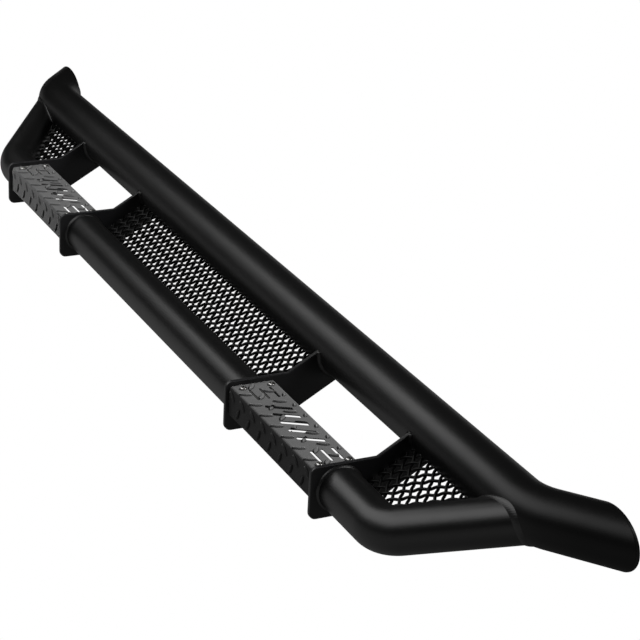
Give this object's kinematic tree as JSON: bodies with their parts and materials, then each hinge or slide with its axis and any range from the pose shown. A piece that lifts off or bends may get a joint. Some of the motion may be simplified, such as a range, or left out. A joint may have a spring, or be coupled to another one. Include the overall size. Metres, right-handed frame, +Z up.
{
  "type": "running board",
  "caption": "Round-tube vehicle running board: a main tube with bent-in ends, a lower outer tube, side plates, bent treadplate steps and wire mesh infill.",
  "frame": {"origin": "middle of the centre bracket's flat underside", "axes": "+X along the board towards its shallow-bend end, +Y inboard at the vehicle, +Z up"},
  "size_m": [2.1145, 0.2436, 0.1491],
  "materials": {
    "tube_coat": "satin black powder coat",
    "plate_coat": "satin black powder coat",
    "tread_coat": "dark grey satin coat over treadplate",
    "mesh_coat": "satin black powder coat",
    "fastener_steel": "plain zinc-plated steel",
    "bracket_coat": "satin black powder coat"
  },
  "bodies": {
    "root": {"far_end_cap": "plate_coat", "main_tube": "tube_coat", "mesh_panel_centre": "mesh_coat", "mesh_panel_far": "mesh_coat", "mesh_panel_near": "mesh_coat", "mount_centre": "bracket_coat", "mount_front": "bracket_coat", "mount_rear": "bracket_coat", "near_end_cap": "plate_coat", "outer_tube_centre": "tube_coat", "outer_tube_far": "tube_coat", "outer_tube_near": "tube_coat", "side_plate_far_inner": "plate_coat", "side_plate_far_outer": "plate_coat", "side_plate_near_inner": "plate_coat", "side_plate_near_outer": "plate_coat", "step_far": "tread_coat", "step_near": "tread_coat", "step_nut_far_1": "fastener_steel", "step_nut_far_2": "fastener_steel", "step_nut_far_3": "fastener_steel", "step_nut_far_4": "fastener_steel", "step_nut_near_1": "fastener_steel", "step_nut_near_2": "fastener_steel", "step_nut_near_3": "fastener_steel", "step_nut_near_4": "fastener_steel", "step_screw_far_1": "fastener_steel", "step_screw_far_2": "fastener_steel", "step_screw_far_3": "fastener_steel", "step_screw_far_4": "fastener_steel", "step_screw_near_1": "fastener_steel", "step_screw_near_2": "fastener_steel", "step_screw_near_3": "fastener_steel", "step_screw_near_4": "fastener_steel", "step_tab_far_inner": "bracket_coat", "step_tab_far_outer": "bracket_coat", "step_tab_near_inner": "bracket_coat", "step_tab_near_outer": "bracket_coat", "weld_nut_centre_1": "fastener_steel", "weld_nut_centre_2": "fastener_steel", "weld_nut_front_1": "fastener_steel", "weld_nut_front_2": "fastener_steel", "weld_nut_rear_1": "fastener_steel", "weld_nut_rear_2": "fastener_steel"}
  },
  "joints": []
}
